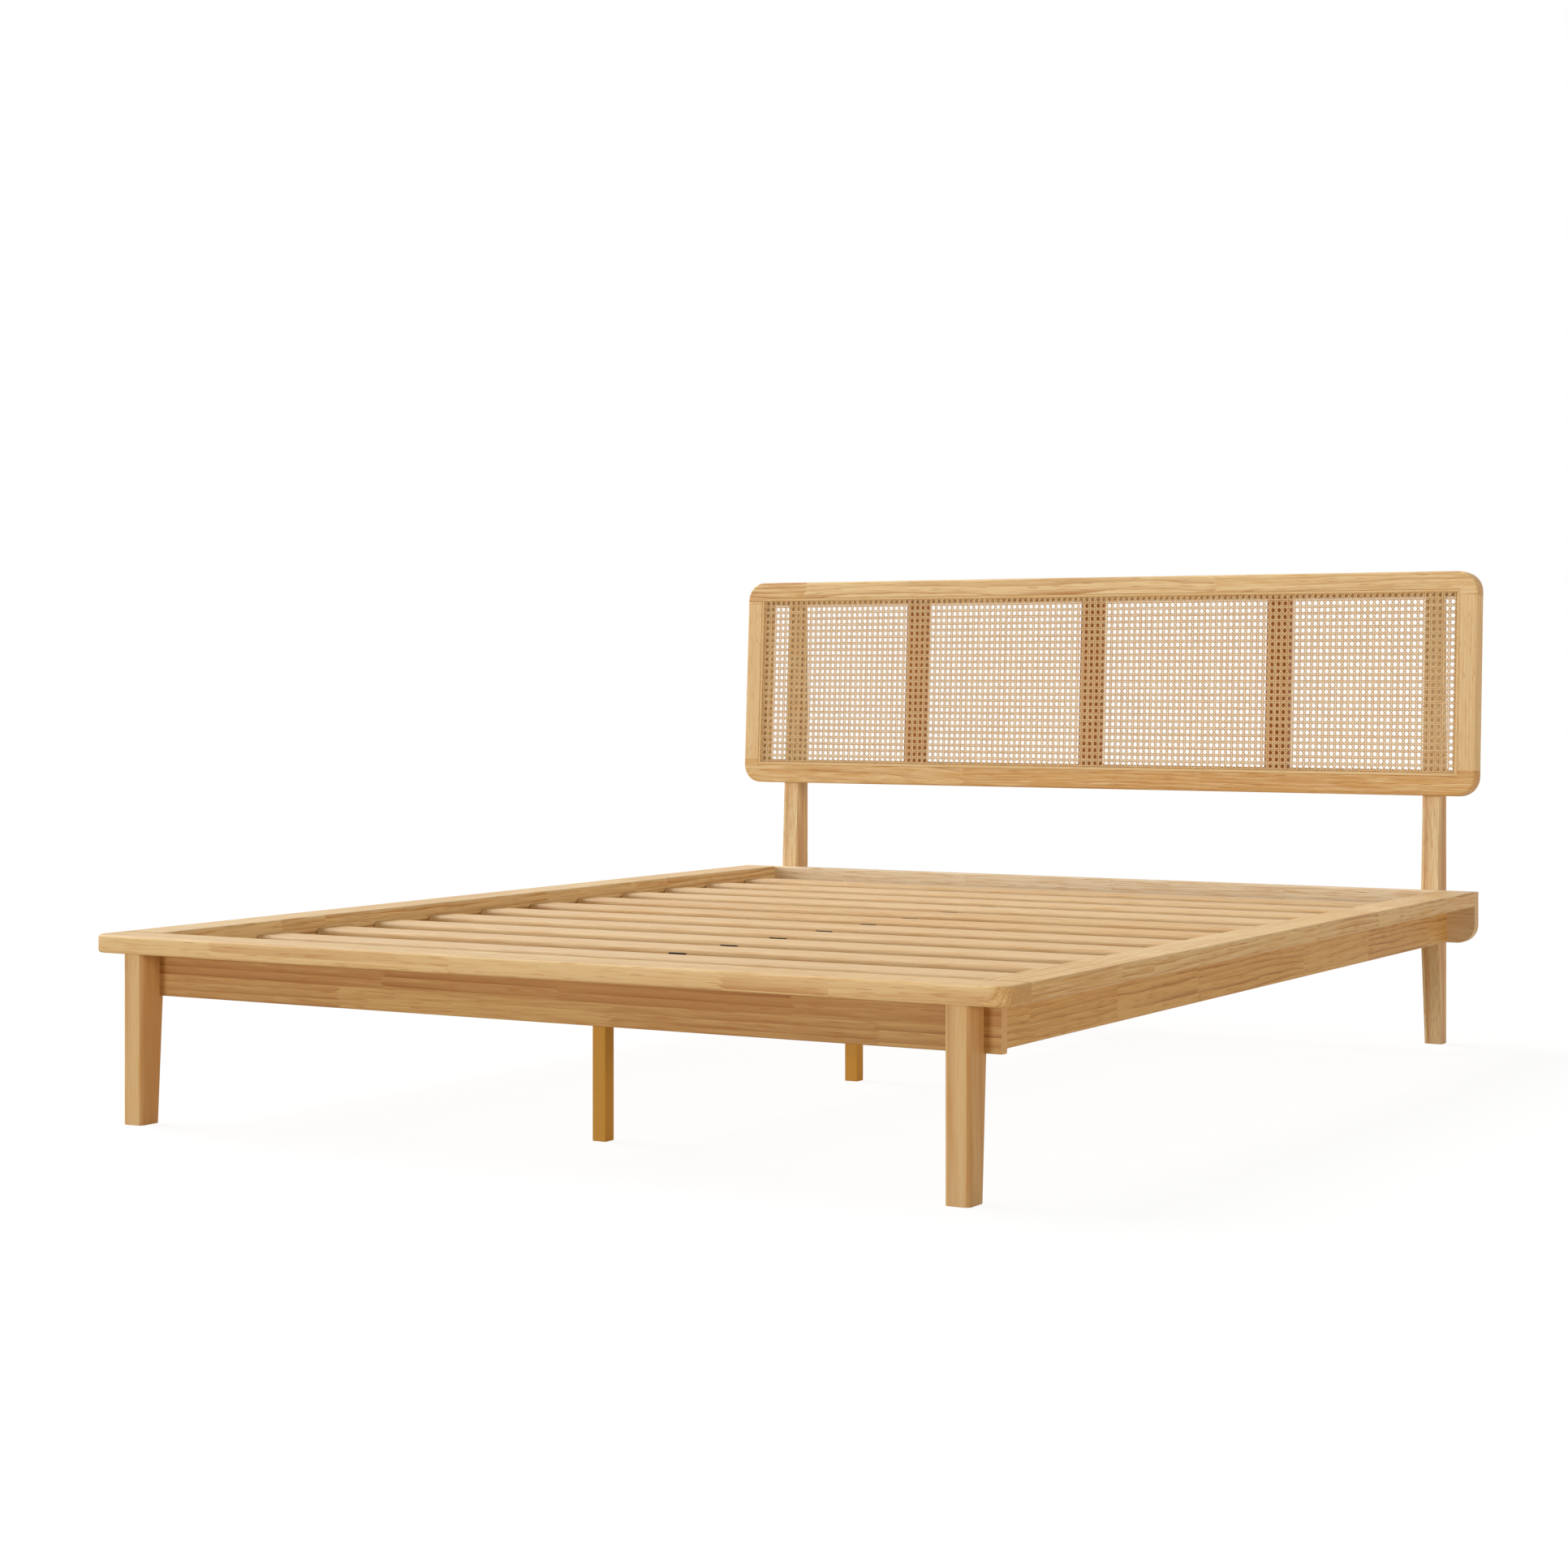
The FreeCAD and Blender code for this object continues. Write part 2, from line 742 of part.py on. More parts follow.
# A clip is a saddle over the beam with a lip in front of and behind the slat
def slat_clip(front):
    back = front + slat_width + clip_clearance
    front = front - clip_clearance
    half = beam_width / 2 + clip_clearance + clip_skirt_thickness
    ys = (front - clip_lip_thickness, back + clip_lip_thickness)
    body = block((-half, half), ys, (beam_top - clip_skirt_depth, slat_bottom + clip_lip_height))
    inner_half = beam_width / 2 + clip_clearance
    beam_room = block((-inner_half, inner_half), ys, (beam_top - clip_skirt_depth, beam_top))
    slat_room = block((-half, half), (front, back), (slat_bottom, slat_bottom + clip_lip_height))
    return body.cut(beam_room).cut(slat_room)


def all_pieces():
    pieces = {
        "front_cap": front_cap(),
        "right_cap": right_cap(),
        "left_cap": mirrored(right_cap()),
        "front_apron": front_apron(),
        "right_side_rail": right_side_rail(),
        "left_side_rail": mirrored(right_side_rail()),
        "head_rail": head_rail(),
        "front_right_leg": right_front_leg(),
        "front_left_leg": mirrored(right_front_leg()),
        "right_head_post": right_head_post(),
        "left_head_post": mirrored(right_head_post()),
        "headboard_top_rail": headboard_top_rail(),
        "headboard_bottom_rail": headboard_bottom_rail(),
        "headboard_left_stile": headboard_stile(stile_ranges[0], -half_width),
        "headboard_right_stile": headboard_stile(stile_ranges[1], half_width),
        "cane_panel": cane_panel(),
        "cane_bead_top": cane_bead(rabbet_x, (lip_z[1], rabbet_z[1]), along_x),
        "cane_bead_bottom": cane_bead(rabbet_x, (rabbet_z[0], lip_z[0]), along_x),
        "cane_bead_left": cane_bead((rabbet_x[0], lip_x[0]), lip_z, along_z),
        "cane_bead_right": cane_bead((lip_x[1], rabbet_x[1]), lip_z, along_z),
        "right_slat_ledge": right_slat_ledge(),
        "left_slat_ledge": mirrored(right_slat_ledge()),
        "centre_beam": centre_beam(),
        "centre_leg_bolts": centre_leg_bolts(),
        "slat_clips": Part.makeCompound([slat_clip(front) for front in slat_fronts]),
        "front_leg_bolts": bolts("front_leg"),
        "front_leg_inserts": inserts("front_leg"),
        "head_rail_bolts": bolts("head_rail"),
        "head_rail_inserts": inserts("head_rail"),
        "headboard_bolts": bolts("headboard"),
        "headboard_inserts": inserts("headboard"),
        "corner_brackets": Part.makeCompound([corner_bracket(*corner) for corner in bracket_corners]),
        "corner_bracket_screws": screws(bracket_screw_places()),
        "beam_hangers": Part.makeCompound([beam_hanger(*end) for end in hanger_ends]),
        "beam_hanger_screws": screws(hanger_screw_places()),
        "ledge_screws": screws(ledge_screw_places()),
        "cap_dowels": cap_dowels(),
    }
    for index, x_range in enumerate(batten_ranges):
        pieces[f"headboard_batten_{index + 1}"] = headboard_batten(x_range)
    for index, front in enumerate(slat_fronts):
        pieces[f"slat_{index + 1:02d}"] = slat(front)
    for index, front in enumerate(centre_leg_fronts):
        pieces[f"centre_leg_{index + 1}"] = centre_leg(front)
    return pieces


os.makedirs("parts", exist_ok=True)
for node, shape in all_pieces().items():
    print(node, "solids", len(shape.Solids), "valid", shape.isValid(), "volume", round(shape.Volume))
    shape.exportStep(f"parts/{node}.step")
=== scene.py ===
import bpy
import functools
import json
import math
import mathutils
import numpy as np
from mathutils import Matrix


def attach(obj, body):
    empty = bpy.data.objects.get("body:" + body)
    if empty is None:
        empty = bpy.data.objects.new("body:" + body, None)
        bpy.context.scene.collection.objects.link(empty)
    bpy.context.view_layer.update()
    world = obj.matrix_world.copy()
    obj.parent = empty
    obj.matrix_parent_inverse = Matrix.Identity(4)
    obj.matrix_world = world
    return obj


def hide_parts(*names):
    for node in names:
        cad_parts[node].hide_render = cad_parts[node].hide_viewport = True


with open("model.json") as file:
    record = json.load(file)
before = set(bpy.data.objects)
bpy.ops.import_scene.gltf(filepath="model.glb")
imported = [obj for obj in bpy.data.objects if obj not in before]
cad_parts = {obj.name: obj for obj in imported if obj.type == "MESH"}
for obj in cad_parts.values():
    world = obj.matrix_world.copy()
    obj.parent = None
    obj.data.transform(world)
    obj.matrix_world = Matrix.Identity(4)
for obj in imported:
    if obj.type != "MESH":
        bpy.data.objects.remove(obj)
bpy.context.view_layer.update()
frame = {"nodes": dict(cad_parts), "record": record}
nodes = frame["nodes"]
mmPerMetre = 1000.0
print("loaded", len(nodes), "nodes")


# sRGB hex to linear RGBA
def linear(hexColour):
    channels = [int(hexColour[i:i + 2], 16) / 255 for i in (1, 3, 5)]
    return [c / 12.92 if c <= 0.04045 else ((c + 0.055) / 1.055) ** 2.4 for c in channels] + [1.0]


# Adds one node. An input takes a plain value, a socket, or a node whose first output is meant
def addNode(tree, kind, inputs=None, **settings):
    node = tree.nodes.new("ShaderNode" + kind)
    for name, value in settings.items():
        setattr(node, name, value)
    for name, source in (inputs or {}).items():
        if isinstance(source, bpy.types.Node):
            source = source.outputs[0]
        if isinstance(source, bpy.types.NodeSocket):
            tree.links.new(source, node.inputs[name])
        else:
            node.inputs[name].default_value = source
    return node


# An empty material, and the function that adds nodes to it
def newMaterial(name):
    material = bpy.data.materials.new(name)
    material.use_nodes = True
    material.node_tree.nodes.clear()
    return material, functools.partial(addNode, material.node_tree)


# Pine under a clear satin lacquer. Boards are short blocks joined end to end, most with zigzag fingers and
# some cut square, each block with its own tone and growth rings. Sizes are in millimetres, and a pattern's
# are along and across the grain
pineLook = dict(
    pale="#E6C997", warm="#D3A462", late="#B27434", resin="#A8621C", endTone="#C08E50", endShare=0.4,
    joints=(), squareJoints=(), seam=9999.0, fingerPitch=9.0, fingerDepth=11.0,
    cell=(400.0, 200.0), cellShift=(0.5, 0.0),
    tone=(0.0, 0.6), stripToneAndShade=(0.0, 0.0), bands=(0.5, 1.0), dashes=0.35,
    ringSpacing=7.0, ringEdge=2.5, tilt=(0.4, 1.2),
    wave=(450.0, 60.0), waveReach=22.0, fade=(320.0, 26.0), fibre=(90.0, 2.8), dash=(60.0, 1.6),
    waveDetail=2.0, fadeDetail=1.0, fibreDetail=4.0, fibreRoughness=0.65,
    fadeRange=(0.3, 0.6), heart=(0.32, 0.15), resinShare=0.85, fibreShare=3.2,
    blockShift=(3000.0, 300.0, 300.0), endFrom=0.6, roughness=(0.45, 0.6), sheen=0.25,
    bumpStrength=0.12, bumpReach=0.0004,
)

# How each slot's boards differ. Joints are places along the grain, a list for the strip below the seam and
# one for the strip above
pineBoards = {
    "pine_front_cap": dict(grain="x", joints=[(-585, -109, 390, 816)], squareJoints=(566,), tone=(0.0, 0.35),
                           tilt=(0.05, 0.35), waveReach=4.0, seed=3),
    "pine_side_cap": dict(grain="y", joints=[(-701, 120, 450)], squareJoints=(-585, 564), pale="#E9CE9E",
                          tone=(0.0, 0.4), seed=7),
    # The apron's darker colours and its darker upper strip are partly the wood's own tone and partly painted
    # shade from the cap's overhang above it
    "pine_apron": dict(grain="x", joints=[(-364, 159, 620), (-274, 61, 480)], seam=248.0,
                       pale="#CDA86E", warm="#B88A52", late="#945620", endTone="#E6BE8C", endShare=0.8,
                       tone=(0.0, 0.6), bands=(0.6, 1.0), ringSpacing=12.0, ringEdge=2.0, fade=(500.0, 60.0),
                       tilt=(0.8, 1.2), waveReach=10.0, stripToneAndShade=(0.1, 0.65), seed=12),
    "pine_side_rail": dict(grain="y", joints=[(-904, -271, 218, 902)], squareJoints=(-596, 551),
                           pale="#E0BC80", warm="#CFA25F", late="#A66A30", bands=(0.7, 1.0),
                           ringSpacing=9.0, ringEdge=3.5, seed=16),
    "pine_head_rail": dict(grain="x", joints=[(-588, -280, 70, 454)], pale="#F4E2C4", tone=(0.0, 0.25),
                           bands=(0.1, 0.4), dashes=0.1, seed=21),
    "pine_leg": dict(grain="z", cellShift=(0.5, 0.5), pale="#DDBF8E", late="#B4722E", bands=(0.6, 0.8),
                     dashes=0.0, tone=(0.0, 0.2), ringSpacing=30.08, tilt=(-1.57, -1.57), waveReach=4.0,
                     seed=25),
    "pine_post": dict(grain="z", cellShift=(0.5, 0.5), pale="#EDD8AE", late="#BA7834", bands=(0.6, 0.8),
                      dashes=0.1, tone=(0.0, 0.2), ringSpacing=29.31, tilt=(-1.57, -1.57), waveReach=3.0,
                      seed=31),
    "pine_slat": dict(grain="x", cell=(166.0, 200.0), cellShift=(5.96, 0.0), pale="#E4C598", warm="#CFA064",
                      bands=(0.0, 0.3), dashes=0.0, tone=(0.0, 0.4), seed=38),
    "pine_board_rail": dict(grain="x", joints=[(-288, 266), (-696, 294)], seam=730.0, pale="#EDD4A4",
                            tone=(0.1, 0.5), stripToneAndShade=(0.35, 0.0), seed=45),
    "pine_board_stile": dict(grain="z", cellShift=(0.5, 0.5), pale="#E8CC9C", bands=(0.2, 0.5), dashes=0.1,
                             tone=(0.0, 0.2), tilt=(1.5, 1.57), seed=51),
    # The battens' darker, redder colours are painted shade for the dim gap behind the cane
    "pine_batten": dict(grain="z", cellShift=(0.5, 0.5), pale="#CE8A4C", warm="#B87234", late="#9C5A26",
                        seed=57),
    "pine_bead": dict(grain="x", cell=(9999.0, 9999.0), bands=(0.0, 0.2), dashes=0.0, tone=(0.1, 0.1),
                      seed=62),
    "pine_inner": dict(grain="y", seed=66),
}


def pineMaterial(slot, board):
    look = {**pineLook, **board}
    material, add = newMaterial("lacqueredPine_" + slot)
    turn = {"x": (0, 0, 0), "y": (0, 0, -math.pi / 2), "z": (0, math.pi / 2, 0)}[look["grain"]]
    # millimetres, with the grain along X and the board's height along Z
    coords = add("TexCoord")
    placing = {"Vector": coords.outputs["Object"], "Rotation": turn, "Scale": (mmPerMetre,) * 3}
    place = add("Mapping", placing)
    along, _, height = add("SeparateXYZ", {0: place}).outputs

    # a block's number is how many joints lie before it, each joint a triangle wave of the height
    strip = add("Math", {0: height, 1: look["seam"]}, operation="GREATER_THAN")
    fingers = add("Math", {0: height, 1: look["fingerPitch"] / 2}, operation="PINGPONG")
    slope = 2 * look["fingerDepth"] / look["fingerPitch"]
    toothed = add("Math", {0: fingers, 1: slope, 2: along}, operation="MULTIPLY_ADD")
    block = 0.0
    for number, places in enumerate(look["joints"]):
        here = add("Math", {0: strip, 1: number, 2: 0.5}, operation="COMPARE")
        for joint in places:
            past = add("Math", {0: toothed, 1: joint}, operation="GREATER_THAN")
            block = add("Math", {0: past, 1: here, 2: block}, operation="MULTIPLY_ADD")
    for joint in look["squareJoints"]:
        past = add("Math", {0: along, 1: joint}, operation="GREATER_THAN")
        block = add("Math", {0: past, 1: block}, operation="ADD")

    # one throw of dice for each block of each board
    cellScale = (0, 1 / look["cell"][0], 1 / look["cell"][1])
    cellStart = (look["seed"], *look["cellShift"])
    cells = add("Mapping", {"Vector": place, "Scale": cellScale, "Location": cellStart})
    boards = add("VectorMath", {0: cells}, operation="FLOOR")
    blocks = add("CombineXYZ", {0: block, 2: strip})
    key = add("VectorMath", {0: boards, 1: blocks}, operation="ADD")
    dice = add("TexWhiteNoise", {"Vector": key}, noise_dimensions="3D")
    thrown = dice.outputs["Color"]
    red, green, _ = add("SeparateColor", {0: thrown}).outputs
    moved = add("VectorMath", {0: thrown, 1: look["blockShift"], 2: place}, operation="MULTIPLY_ADD")

    # four patterns stretched along the grain, each in its own size
    spread = {}
    for name in ("wave", "fade", "fibre", "dash"):
        length, width = look[name]
        spread[name] = add("Mapping", {"Vector": moved, "Scale": (1 / length, 1 / width, 1 / width)})
    wave = add("TexNoise", {"Vector": spread["wave"], "Scale": 1.0, "Detail": look["waveDetail"]})
    fade = add("TexNoise", {"Vector": spread["fade"], "Scale": 1.0, "Detail": look["fadeDetail"]})
    fibre = add("TexNoise", {"Vector": spread["fibre"], "Scale": 1.0, "Detail": look["fibreDetail"],
                             "Roughness": look["fibreRoughness"]})
    dash = add("TexVoronoi", {"Vector": spread["dash"], "Scale": 1.0})

    # growth rings: tilted sheets bent by the wave. Each darkens slowly, ends sharply, and fades in and out
    angle = add("MapRange", {"Value": red, "To Min": look["tilt"][0], "To Max": look["tilt"][1]})
    tilted = add("VectorRotate", {"Vector": place, "Angle": angle}, rotation_type="X_AXIS")
    sheet = add("SeparateXYZ", {0: tilted}).outputs[1]
    bent = add("Math", {0: wave, 1: look["waveReach"], 2: sheet}, operation="MULTIPLY_ADD")
    rings = add("Math", {0: bent, 1: look["ringSpacing"]}, operation="DIVIDE")
    age = add("Math", {0: rings}, operation="FRACT")
    late = add("Math", {0: age, 1: look["ringEdge"]}, operation="POWER")
    most = add("MapRange", {"Value": green, "To Min": look["bands"][0], "To Max": look["bands"][1]})
    fadeFrom, fadeTo = look["fadeRange"]
    strength = add("MapRange", {"Value": fade, "From Min": fadeFrom, "From Max": fadeTo, "To Max": most})
    banded = add("Math", {0: late, 1: strength}, operation="MULTIPLY")

    # resin dashes: the hearts of some long cells
    rim, core = look["heart"]
    depth = {"Value": dash, "From Min": rim, "From Max": core, "To Max": look["resinShare"]}
    heart = add("MapRange", depth, interpolation_type="SMOOTHSTEP")
    lot = add("SeparateColor", {0: dash.outputs["Color"]})
    kept = add("Math", {0: lot, 1: look["dashes"]}, operation="LESS_THAN")
    resin = add("Math", {0: heart, 1: kept}, operation="MULTIPLY")

    # colour: block tone, strip tone and fibres, then rings, dashes, and darker end grain. On the apron the
    # upper strip's extra darkness is partly painted shade under the cap
    tone = add("MapRange", {"Value": dice, "To Min": look["tone"][0], "To Max": look["tone"][1]})
    reach = look["fibreShare"] / 2
    fine = add("MapRange", {"Value": fibre, "To Min": -reach, "To Max": reach})
    extra = add("MapRange", {"Value": strip, "To Min": look["stripToneAndShade"][0], "To Max": look["stripToneAndShade"][1]})
    share = add("Math", {0: tone, 1: extra}, operation="ADD")
    share = add("Math", {0: share, 1: fine}, operation="ADD")
    pale, warm = linear(look["pale"]), linear(look["warm"])
    wood = add("Mix", {0: share, 6: pale, 7: warm}, data_type="RGBA").outputs[2]
    wood = add("Mix", {0: banded, 6: wood, 7: linear(look["late"])}, data_type="RGBA").outputs[2]
    wood = add("Mix", {0: resin, 6: wood, 7: linear(look["resin"])}, data_type="RGBA").outputs[2]
    facing = add("SeparateXYZ", {0: coords.outputs["Normal"]}).outputs["xyz".index(look["grain"])]
    square = add("Math", {0: facing, 1: facing}, operation="MULTIPLY")
    ends = add("MapRange", {"Value": square, "From Min": look["endFrom"], "To Max": look["endShare"]})
    wood = add("Mix", {0: ends, 6: wood, 7: linear(look["endTone"])}, data_type="RGBA").outputs[2]

    rough = add("MapRange", {"Value": fibre, "To Min": look["roughness"][0], "To Max": look["roughness"][1]})
    bump = add("Bump", {"Height": fibre, "Strength": look["bumpStrength"], "Distance": look["bumpReach"]})
    shader = add("BsdfPrincipled", {"Base Color": wood, "Roughness": rough,
                                    "Specular IOR Level": look["sheen"], "Normal": bump})
    add("OutputMaterial", {"Surface": shader})
    return material


# What the plain finishes share, and each one's two colours, mottled at a grain size in millimetres
plainFinish = dict(detail=4.0, roughSpread=0.06, sheen=0.25, bumpStrength=0.08, bumpReach=0.0003)
plainLook = {
    # ochre lacquer sprayed over square legs: even colour, faint orange peel
    "ochre_lacquer": dict(name="ochreLacquer", colour="#D09C40", second="#C69238", metal=0.0, rough=0.56,
                          grain=3.0),
    # black nylon clips, moulded: fine matt grain
    "black_plastic": dict(name="blackNylon", colour="#0C0A09", second="#141110", metal=0.0, rough=0.76,
                          grain=0.8),
    # zinc-plated steel: cool grey with a faint mottling
    "zinc_steel": dict(name="zincPlatedSteel", colour="#B9BCC0", second="#A4A9B0", metal=1.0, rough=0.35,
                       grain=2.5),
    # turned brass inserts
    "brass_insert": dict(name="turnedBrass", colour="#C9A24E", second="#B48C3C", metal=1.0, rough=0.31,
                         grain=1.2),
    # raw beech dowels: small flecks
    "beech_dowel": dict(name="rawBeech", colour="#CFA577", second="#B98B5C", metal=0.0, rough=0.61,
                        grain=1.0),
}


def plainMaterial(own):
    look = {**plainFinish, **own}
    material, add = newMaterial(look["name"])
    coords = add("TexCoord")
    scale = mmPerMetre / look["grain"]
    scaled = add("Mapping", {"Vector": coords.outputs["Object"], "Scale": (scale, scale, scale)})
    mottle = add("TexNoise", {"Vector": scaled, "Scale": 1.0, "Detail": look["detail"]})
    colours = {0: mottle, 6: linear(look["colour"]), 7: linear(look["second"])}
    colour = add("Mix", colours, data_type="RGBA").outputs[2]
    least, most = look["rough"] - look["roughSpread"], look["rough"] + look["roughSpread"]
    rough = add("MapRange", {"Value": mottle, "To Min": least, "To Max": most})
    bump = add("Bump", {"Height": mottle, "Strength": look["bumpStrength"], "Distance": look["bumpReach"]})
    shader = add("BsdfPrincipled", {"Base Color": colour, "Roughness": rough, "Metallic": look["metal"],
                                    "Specular IOR Level": look["sheen"], "Normal": bump})
    add("OutputMaterial", {"Surface": shader})
    return material


slotMaterials = {slot: pineMaterial(slot, board) for slot, board in pineBoards.items()}
slotMaterials.update({slot: plainMaterial(look) for slot, look in plainLook.items()})
for part in frame["record"]["subparts"]:
    if part["material_slot"] in slotMaterials:
        mesh = nodes[part["node"]].data
        mesh.materials.clear()
        mesh.materials.append(slotMaterials[part["material_slot"]])
print("materials", len(slotMaterials))

# Woven cane: pairs of upright and level strands and one strand along each diagonal. Sizes are in
# millimetres: the pitch of the pairs, half the distance within a pair, strand widths, and how far strands
# swing in and out
caneLook = dict(
    pitchX=13.2, pitchZ=14.05, pairX=1.8, pairZ=1.6, straightWidth=2.0, diagonalWidth=1.7, crown=0.38,
    pairLift=0.45, diagonalLift=0.85, diagonalSteps=4, firstRow=5.1, margin=1.0, beadWidth=6.0,
    edgeReach=1.0, seed=11,
    light="#FFEEC8", dark="#E8BA7C", mottle=4.0, mottleShare=0.5, detail=3.0, roughness=0.55, sheen=0.25,
    bumpStrength=0.1, bumpReach=0.0002,
)


# The cane's own plane, from the CAD panel: its middle, unit vectors to the right, outward and up, and half
# its size
def canePlane(look):
    mesh = nodes["cane_panel"].data
    points = np.zeros(len(mesh.vertices) * 3)
    mesh.vertices.foreach_get("co", points)
    points = points.reshape(-1, 3)
    low, high = points.min(0), points.max(0)
    edgeReach = look["edgeReach"] / mmPerMetre
    nearTop = points[:, 2] > high[2] - edgeReach
    nearBottom = points[:, 2] < low[2] + edgeReach
    up = points[nearTop].mean(0) - points[nearBottom].mean(0)
    up[0] = 0.0
    up /= np.linalg.norm(up)
    right = np.array([1.0, 0.0, 0.0])
    axes = np.stack([right, np.cross(right, up), up])
    flat = points @ axes.T
    middle = (flat.min(0) + flat.max(0)) / 2
    return middle @ axes, axes, (flat.max(0) - flat.min(0)) / 2 * mmPerMetre


# Ribbons: a crowned three-cornered section carried along each strand. Lines is an array of strands by
# samples by (right, outward, up) in the cane's plane, and stretches whose middle lies outside the limit are
# left out
def weaveRibbons(look, name, lines, across, width, plane, limit):
    origin, axes, _ = plane
    count, samples = lines.shape[:2]
    crown = look["crown"]
    section = np.array([(-width / 2, -crown), (0.0, crown), (width / 2, -crown)])
    sideways, outward = np.array([across[0], 0.0, across[1]]), np.array([0.0, 1.0, 0.0])
    offsets = section[:, :1] * sideways + section[:, 1:] * outward
    points = origin + (lines[:, :, None, :] + offsets) @ axes / mmPerMetre
    middles = (lines[:, :-1] + lines[:, 1:]) / 2
    inside = (np.abs(middles[..., 0]) < limit[0]) & (np.abs(middles[..., 2]) < limit[1])
    index = np.arange(count * samples * 3).reshape(count, samples, 3)
    near, far = index[:, :-1], index[:, 1:]
    turned = [1, 2, 0]
    walls = np.stack([near, far, far[..., turned], near[..., turned]], -1)[inside].reshape(-1, 4)
    padded = np.pad(inside, ((0, 0), (1, 1)))
    starts = near[inside & ~padded[:, :-2]]
    ends = far[inside & ~padded[:, 2:]][:, ::-1]
    allCorners = np.concatenate([walls.ravel(), starts.ravel(), ends.ravel()])
    used, corners = np.unique(allCorners, return_inverse=True)
    faces = corners[:walls.size].reshape(-1, 4).tolist() + corners[walls.size:].reshape(-1, 3).tolist()
    mesh = bpy.data.meshes.new(name)
    mesh.from_pydata(points.reshape(-1, 3)[used].tolist(), [], faces)
    mesh.polygons.foreach_set("use_smooth", np.ones(len(faces), bool))
    tones = np.random.default_rng(look["seed"]).random(count)
    attribute = mesh.attributes.new("strandTone", "FLOAT", "POINT")
    attribute.data.foreach_set("value", tones[used // (samples * 3)].astype(np.float32))
    mesh.update()
    piece = bpy.data.objects.new(name, mesh)
    bpy.context.scene.collection.objects.link(piece)
    return piece


def weaveCane(look):
    plane = canePlane(look)
    half = plane[2]
    limit = (half[0] - look["margin"], half[2] - look["margin"])
    columns = math.ceil(limit[0] / look["pitchX"]) + 1
    rows = math.ceil(2 * limit[1] / look["pitchZ"]) + 2
    # the first row of holes lies just inside the bead, and its strand pair half a pitch above
    firstPair = limit[1] + 2 * look["margin"] - look["beadWidth"] - look["firstRow"] + look["pitchZ"] / 2
    pairXs = np.arange(-columns, columns + 1) * look["pitchX"]
    pairZs = firstPair - np.arange(-1, rows) * look["pitchZ"]

    # each strand swings out over one strand of a crossing pair and in under the other, and is level between
    swing = np.array([1.0, -1.0, 0.0]) * look["pairLift"]
    sense = np.array([1.0, -1.0])
    strandXs = (pairXs[:, None] - sense * look["pairX"]).ravel()
    strandZs = (pairZs[:, None] + sense * look["pairZ"]).ravel()
    crossZs = (pairZs[:, None] + np.array([look["pairZ"], -look["pairZ"], -look["pitchZ"] / 2])).ravel()
    crossXs = (pairXs[:, None] + np.array([-look["pairX"], look["pairX"], look["pitchX"] / 2])).ravel()
    uprightSwing = np.tile(sense, len(pairXs))[:, None] * np.tile(swing, len(pairZs))
    levelSwing = np.tile(sense, len(pairZs))[:, None] * np.tile(-swing, len(pairXs))
    uprights = np.stack(np.broadcast_arrays(strandXs[:, None], uprightSwing, crossZs), -1)
    levels = np.stack(np.broadcast_arrays(crossXs, levelSwing, strandZs[:, None]), -1)
    width = look["straightWidth"]
    pieces = [
        weaveRibbons(look, "cane_uprights", uprights, (1.0, 0.0), width, plane, limit),
        weaveRibbons(look, "cane_levels", levels, (0.0, 1.0), width, plane, limit),
    ]

    # diagonals run through the middles of the sides between pairs, outward by a cosine of the way in pitches
    steps = np.arange(0, (rows + 1) * look["diagonalSteps"] + 1) / look["diagonalSteps"]
    starts = (np.arange(-columns - rows, columns + rows) + 0.5) * look["pitchX"]
    length = math.hypot(look["pitchX"], look["pitchZ"])
    for name, slope in (("cane_diagonals_falling", 1.0), ("cane_diagonals_rising", -1.0)):
        xs = starts[:, None] + slope * steps * look["pitchX"]
        zs = firstPair + look["pitchZ"] * (1 - steps)
        lift = -slope * look["diagonalLift"] * np.cos(2 * np.pi * steps)
        lines = np.stack(np.broadcast_arrays(xs, lift, zs), -1)
        across = (look["pitchZ"] / length, slope * look["pitchX"] / length)
        width = look["diagonalWidth"]
        pieces.append(weaveRibbons(look, name, lines, across, width, plane, limit))
    return pieces


# Rattan cane, the peeled skin of the vine: satin tan, mottled, with a tone for each strand
def caneMaterial(look):
    material, add = newMaterial("rattanCane")
    coords = add("TexCoord")
    tone = add("Attribute", attribute_name="strandTone")
    scale = mmPerMetre / look["mottle"]
    scaled = add("Mapping", {"Vector": coords.outputs["Object"], "Scale": (scale, scale, scale)})
    mottle = add("TexNoise", {"Vector": scaled, "Scale": 1.0, "Detail": look["detail"]})
    share = add("Mix", {0: look["mottleShare"], 2: tone.outputs["Fac"], 3: mottle})
    colours = {0: share, 6: linear(look["light"]), 7: linear(look["dark"])}
    colour = add("Mix", colours, data_type="RGBA").outputs[2]
    bump = add("Bump", {"Height": mottle, "Strength": look["bumpStrength"], "Distance": look["bumpReach"]})
    shader = add("BsdfPrincipled", {"Base Color": colour, "Roughness": look["roughness"],
                                    "Specular IOR Level": look["sheen"], "Normal": bump})
    add("OutputMaterial", {"Surface": shader})
    return material


caneSkin = caneMaterial(caneLook)
for piece in weaveCane(caneLook):
    piece.data.materials.append(caneSkin)
    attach(piece, "root")
    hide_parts("cane_panel")
    print("woven", piece.name, len(piece.data.polygons), "faces")

